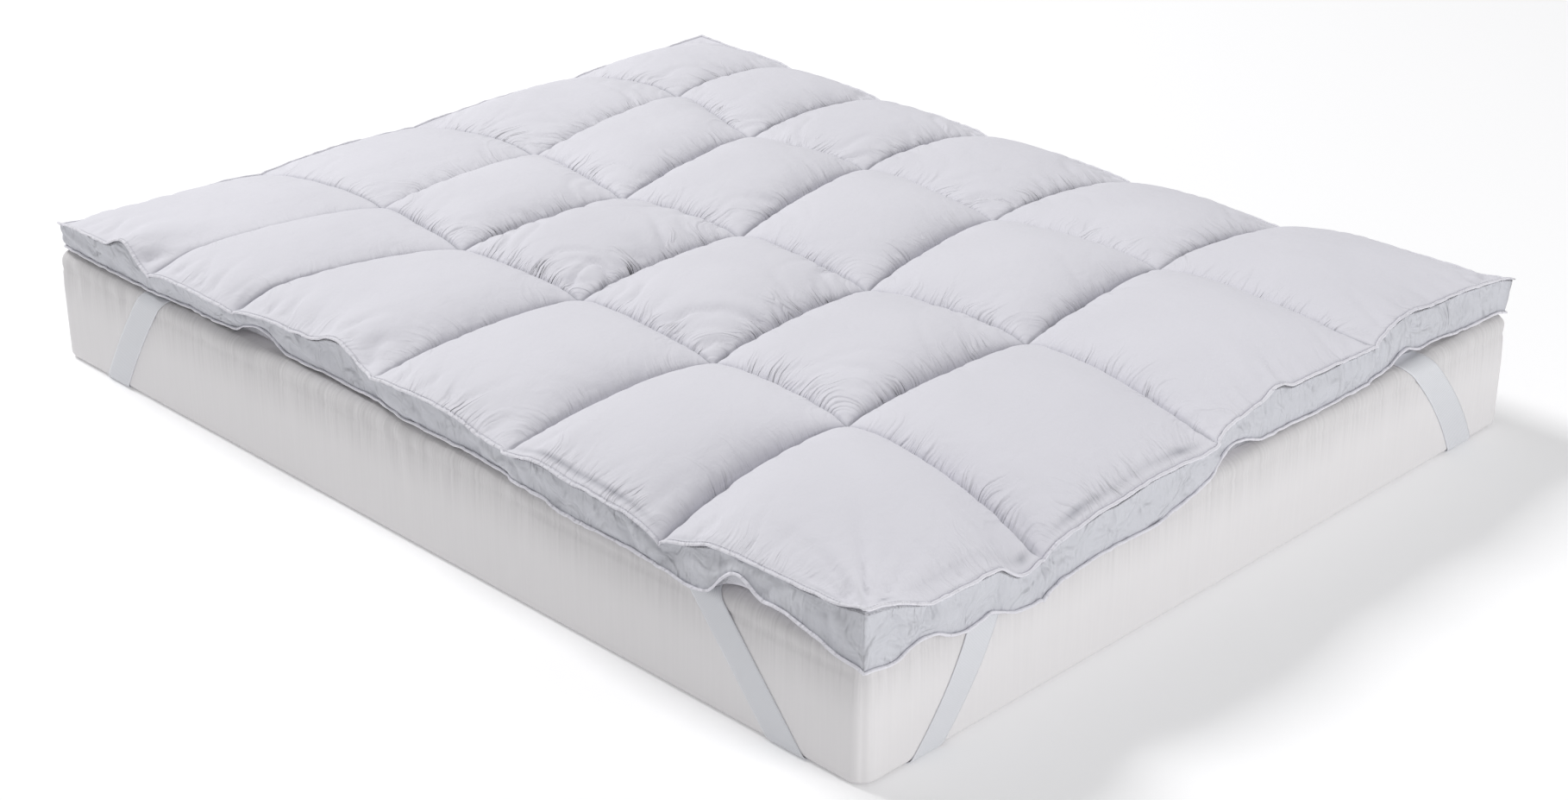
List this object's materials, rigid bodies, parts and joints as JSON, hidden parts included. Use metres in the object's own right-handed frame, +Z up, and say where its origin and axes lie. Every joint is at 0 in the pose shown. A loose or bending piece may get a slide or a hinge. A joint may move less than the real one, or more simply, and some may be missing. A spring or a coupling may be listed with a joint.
{
  "type": "mattress topper on a mattress",
  "caption": "Filled mattress topper quilted into puffy boxes, with a soft side wall, piped edges and elastic corner straps, lying on the plain mattress that the straps hold it to",
  "frame": {"origin": "middle of the underside of the mattress, where it lies on the bed base", "axes": "X runs along the short sides, Y along the long sides, Z up"},
  "size_m": [1.6394, 2.0316, 0.3356],
  "materials": {
    "down_proof_cotton": "matt, closely woven white cotton",
    "piping_cotton": "matt white cotton, sewn as a narrow ridge",
    "woven_elastic": "satin, flat ribbed elastic in pale grey",
    "mattress_cover_knit": "matt, soft white cover cloth"
  },
  "bodies": {
    "root": {"topper": "down_proof_cotton", "upper_piping": "piping_cotton", "lower_piping": "piping_cotton", "strap_front": "woven_elastic", "strap_left": "woven_elastic", "strap_right": "woven_elastic", "strap_back": "woven_elastic", "mattress": "mattress_cover_knit"}
  },
  "joints": []
}
